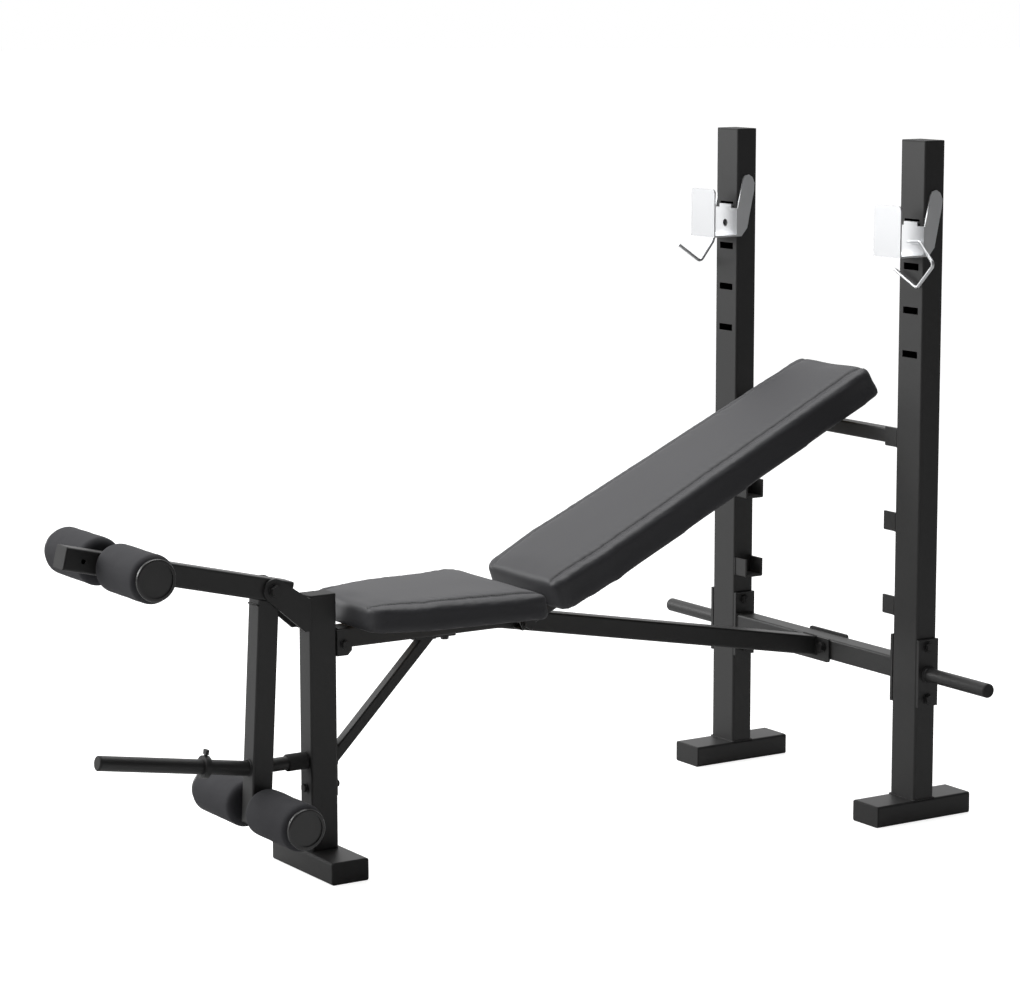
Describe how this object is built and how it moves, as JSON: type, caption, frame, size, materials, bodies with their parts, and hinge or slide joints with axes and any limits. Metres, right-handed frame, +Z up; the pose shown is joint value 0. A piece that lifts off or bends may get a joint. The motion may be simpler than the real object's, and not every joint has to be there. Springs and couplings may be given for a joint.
{
  "type": "weight bench with uprights",
  "caption": "Incline weight bench with fixed uprights, plated bar catches, adjustable padded backrest and a swinging leg developer with foam rollers.",
  "frame": {"origin": "on the floor, at the centre of the bounding box: on the centre plane, half-way between the leg developer and the rack", "axes": "+Z up, +Y along the bench towards the rack, +X across it to the right of someone looking along +Y"},
  "size_m": [0.94, 1.6276, 1.2],
  "materials": {
    "powder_coat": "semi-gloss black powder coat",
    "zinc_plate": "bright zinc plate",
    "black_plug": "satin moulded plastic",
    "roller_disc": "moulded plastic",
    "nylon": "natural nylon",
    "black_fastener": "black oxide",
    "plywood": "raw plywood",
    "vinyl": "grained upholstery vinyl",
    "foam": "matte closed-cell foam",
    "bumper_rubber": "matte rubber"
  },
  "bodies": {
    "frame": {"back_hinge_bolt": "black_fastener", "back_hinge_bush": "nylon", "bar_catch_left": "zinc_plate", "bar_catch_right": "zinc_plate", "brace_bolts": "black_fastener", "cradles_left": "powder_coat", "cradles_right": "powder_coat", "crossbar": "powder_coat", "diagonal_brace": "powder_coat", "foot_end_caps": "black_plug", "front_foot": "powder_coat", "front_post": "powder_coat", "front_post_cap": "black_plug", "lever_bracket": "powder_coat", "lever_bracket_bolts": "black_fastener", "lever_pivot_bolt": "black_fastener", "main_rail": "powder_coat", "plate_bolts": "black_fastener", "post_rail_bolt": "black_fastener", "post_rail_bracket": "powder_coat", "rack_foot_left": "powder_coat", "rack_foot_right": "powder_coat", "rear_clamp_back": "powder_coat", "rear_clamp_bolts": "black_fastener", "rear_clamp_front": "powder_coat", "seat_board": "plywood", "seat_brackets": "powder_coat", "seat_pad": "vinyl", "seat_screws": "black_fastener", "support_bar": "powder_coat", "support_bar_caps": "black_plug", "upright_left": "powder_coat", "upright_right": "powder_coat", "upright_top_caps": "black_plug", "weight_peg_caps": "black_plug", "weight_peg_left": "powder_coat", "weight_peg_right": "powder_coat"},
    "backrest": {"back_board": "plywood", "back_pad": "vinyl", "back_rails": "powder_coat", "back_screws": "black_fastener"},
    "lever": {"lever_upper_arm": "powder_coat", "lever_lower_arm": "powder_coat", "lever_end_caps": "black_plug", "upper_axle": "powder_coat", "lower_axle": "powder_coat", "roller_end_caps": "roller_disc", "lever_weight_peg": "powder_coat", "lever_peg_cap": "black_plug", "lever_pivot_sleeve": "nylon", "stop_stub": "powder_coat", "rubber_bumper": "bumper_rubber"},
    "upper_left_foam": {"upper_roller_left": "foam"},
    "upper_right_foam": {"upper_roller_right": "foam"},
    "lower_left_foam": {"lower_roller_left": "foam"},
    "lower_right_foam": {"lower_roller_right": "foam"},
    "collar": {"plate_collar": "powder_coat"},
    "collar_screw": {"thumb_screw": "black_fastener"},
    "right_pin": {"lock_pin_right": "zinc_plate"},
    "left_pin": {"lock_pin_left": "zinc_plate"}
  },
  "joints": [
    {"name": "backrest_tilt", "type": "hinge", "parent": "frame", "child": "backrest", "pos_m": [0, 0.03614, 0.3882], "axis": [1, 0, 0], "range_deg": [0, 18]},
    {"name": "leg_lever_swing", "type": "hinge", "parent": "frame", "child": "lever", "pos_m": [0, -0.4382, 0.488], "axis": [-1, 0, 0], "range_deg": [0, 95]},
    {"name": "upper_left_foam_spin", "type": "hinge", "parent": "lever", "child": "upper_left_foam", "pos_m": [-0.095, -0.72505, 0.55687], "axis": [1, 0, 0], "continuous": true},
    {"name": "upper_right_foam_spin", "type": "hinge", "parent": "lever", "child": "upper_right_foam", "pos_m": [0.095, -0.72505, 0.55687], "axis": [1, 0, 0], "continuous": true},
    {"name": "lower_left_foam_spin", "type": "hinge", "parent": "lever", "child": "lower_left_foam", "pos_m": [-0.095, -0.46474, 0.12252], "axis": [1, 0, 0], "continuous": true},
    {"name": "lower_right_foam_spin", "type": "hinge", "parent": "lever", "child": "lower_right_foam", "pos_m": [0.095, -0.46474, 0.12252], "axis": [1, 0, 0], "continuous": true},
    {"name": "collar_slide", "type": "slide", "parent": "lever", "child": "collar", "axis": [0, -0.9869, 0.1616], "range_m": [-0.06, 0.175]},
    {"name": "thumb_screw_turn", "type": "hinge", "parent": "collar", "child": "collar_screw", "pos_m": [0, -0.56089, 0.20475], "axis": [0, 0.1616, 0.9869], "continuous": true},
    {"name": "right_pin_pull", "type": "slide", "parent": "frame", "child": "right_pin", "axis": [0, -1, 0], "range_m": [0, 0.034]},
    {"name": "left_pin_pull", "type": "slide", "parent": "frame", "child": "left_pin", "axis": [-1, 0, 0], "range_m": [0, 0.05]}
  ]
}
